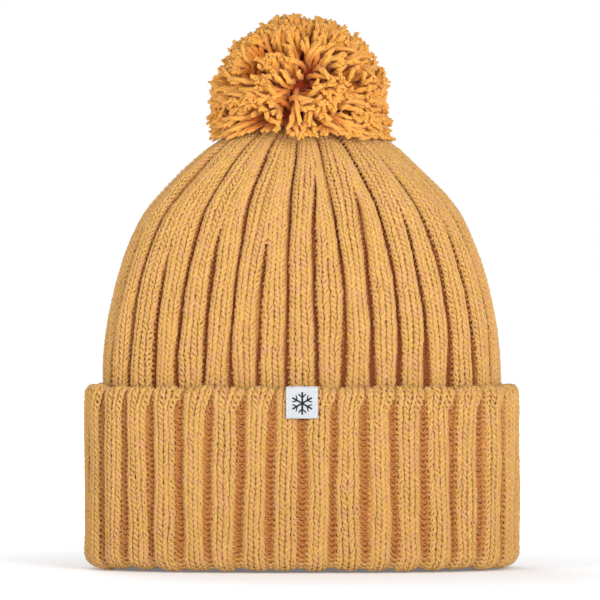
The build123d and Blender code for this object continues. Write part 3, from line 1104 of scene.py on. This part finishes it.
line = xyz(0, label_y, label_z)
line_tangent = unit(np.gradient(line, axis=0))
line_normal = np.cross(line_tangent, (1.0, 0, 0))
line_normal *= -np.sign(line_normal[0, 1])
grid = line[:, None] + xyz(across, 0, 0)
sag = 0.30 * (2 * across / LABEL_WIDTH) ** 4 + 0.10 * np.sin(across * 0.9)
grid = grid - line_normal[:, None] * sag[None, :, None]
motif = half_across, 7.6, 5.8, (0.010, 0.011, 0.013, 1)
LABEL_TAPE = woven_tape("label_tape", (0.565, 0.578, 0.600, 1), (0.495, 0.512, 0.545, 1), motif)
woven_label = slab("woven_cuff_label", grid, line_normal[:, None], LABEL_SHEET / 2, "hat", LABEL_TAPE)
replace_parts(woven_label, "cuff_label")


def sewing_thread(name, colour, shade):
    n = Nodes(name)
    along, around = n.pattern_uv()
    twist = n.sine(n.plus(n.times(around, 2 * math.pi), n.times(along, 9.0)))
    # Painted shade in the grooves of the twist.
    colour = n.mix(n.band(twist, -1.0, 0.4), shade, colour)
    return n.finish(colour, 0.6, twist, 0.00005, 0.1, (1, 1, 1, 1))


THREAD = sewing_thread("white_thread", (0.80, 0.82, 0.87, 1), (0.52, 0.54, 0.60, 1))

THREAD_RADIUS = 0.17
stitch_low, stitch_high = node_box("label_stitches")
stitches = Tubes()
STITCH_ROWS = 5
STITCH_LENGTH = 1.9
stitch_pitch = (stitch_high[2] - stitch_low[2] - STITCH_LENGTH) / (STITCH_ROWS - 1)
for side in (-1, 1):
    for row in range(STITCH_ROWS):
        t = np.linspace(-1, 1, 9)
        z = stitch_low[2] + STITCH_LENGTH / 2 + row * stitch_pitch + t * STITCH_LENGTH / 2
        y = LABEL_FRONT - LABEL_SHEET / 2 - 0.02 + 0.35 * t**4
        path = xyz(side * (stitch_high[0] - 0.22), y, z)
        stitches.add(path[None], (1.0, 0, 0), THREAD_RADIUS, PLY_SIDES, row=1.0)
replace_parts(stitches.build("label_thread", "hat", THREAD), "label_stitches")

care_low, care_high = node_box("care_label")
care_x = np.linspace(care_low[0], care_high[0], 31)
care_z = np.linspace(care_low[2], care_high[2], 45)[:, None]
wave = 0.16 * np.sin(care_x * 0.7) * smooth(care_high[2] - care_z, 4.0, 20.0)
care_grid = xyz(care_x, middle(care_low[1], care_high[1]) + wave, care_z)
care_normal = np.array([0.0, -1.0, 0.0])
CARE_TAPE = woven_tape("care_tape", (0.80, 0.81, 0.80, 1), (0.66, 0.67, 0.68, 1))
care = slab("care_tape_label", care_grid, care_normal, 0.22, "care_flap", CARE_TAPE)
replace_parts(care, "care_label")

tack_low, tack_high = node_box("care_label_stitches")
tacks = Tubes()
TACKS = 4
TACK_LENGTH = 4.0
tack_pitch = (tack_high[0] - tack_low[0] - TACK_LENGTH) / (TACKS - 1)
for index in range(TACKS):
    t = np.linspace(0, 1, 41)
    x = tack_low[0] + index * tack_pitch + 0.3 + (TACK_LENGTH - 0.6) * t
    z = middle(tack_low[2], tack_high[2]) + 0.20 * np.sin(t * 14 * np.pi)
    y = middle(tack_low[1], tack_high[1]) + 0.16 * np.cos(t * 14 * np.pi)
    tacks.add(xyz(x, y, z)[None], (0, 0.3, 1.0), THREAD_RADIUS, PLY_SIDES, row=1.0)
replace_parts(tacks.build("care_label_thread", "hat", THREAD), "care_label_stitches")


# ---- stage
def stage():
    """A pale floor that glows to white far from the hat, so no horizon shows from any side."""
    reach = 6000.0
    corners = [(-reach, -reach, 0.0), (reach, -reach, 0.0), (reach, reach, 0.0), (-reach, reach, 0.0)]
    n = Nodes("paper_sweep")
    place = n.place()
    grain = n.noise(place, 90.0, 3.0)
    distance = n.make("VectorMath", {0: place}, operation="LENGTH").outputs["Value"]
    colour = n.mix(grain, (0.86, 0.87, 0.885, 1), (0.89, 0.90, 0.91, 1))
    material = n.finish(colour, 0.9, grain, 0.0001, 0.0)
    shader = next(node for node in n.tree.nodes if node.type == "BSDF_PRINCIPLED")
    shader.inputs["Emission Color"].default_value = (1, 1, 1, 1)
    n.tree.links.new(n.band(distance, 0.10, 0.80, 0.16, 1.0), shader.inputs["Emission Strength"])
    make_object("sweep", corners, [[0, 1, 2, 3]], None, material)


def studio_world(colour, strength):
    """Even light from all round, seen by the camera as white."""
    world = bpy.data.worlds.new("studio")
    world.use_nodes = True
    tree = world.node_tree
    light = tree.nodes["Background"]
    light.inputs[0].default_value = colour
    light.inputs[1].default_value = strength
    seen = tree.nodes.new("ShaderNodeBackground")
    seen.inputs[0].default_value = (1, 1, 1, 1)
    is_seen = tree.nodes.new("ShaderNodeLightPath").outputs["Is Camera Ray"]
    mix = tree.nodes.new("ShaderNodeMixShader")
    for socket, source in zip(mix.inputs, (is_seen, light.outputs[0], seen.outputs[0])):
        tree.links.new(source, socket)
    tree.links.new(mix.outputs[0], tree.nodes["World Output"].inputs["Surface"])
    bpy.context.scene.world = world


def area_light(name, place, target, size, power):
    data = bpy.data.lights.new(name, "AREA")
    data.shape = "DISK"
    data.size = size
    data.energy = power
    light = add_object(name, data)
    light.location = place
    light.rotation_euler = (Vector(target) - Vector(place)).to_track_quat("-Z", "Y").to_euler()


stage()
area_light("key", (0.85, -1.8, 0.62), (0, 0, 0.10), 1.0, 32.0)
area_light("fill", (-1.2, -1.5, 0.35), (0, 0, 0.10), 1.6, 17.5)
area_light("back", (-0.7, 1.8, 0.9), (0, 0, 0.12), 1.4, 18.0)
studio_world((0.97, 0.985, 1.0, 1), 0.55)
bpy.context.scene.view_settings.view_transform = "Standard"

camera_data = bpy.data.cameras.new("camera")
camera_data.lens = 346.0
camera_data.sensor_width = 36.0
camera_data.clip_end = 20
camera = add_object("camera", camera_data)
camera.location = (-0.001, -3.0, 0.1394)
camera.rotation_euler = (math.pi / 2, 0, 0)
bpy.context.scene.camera = camera
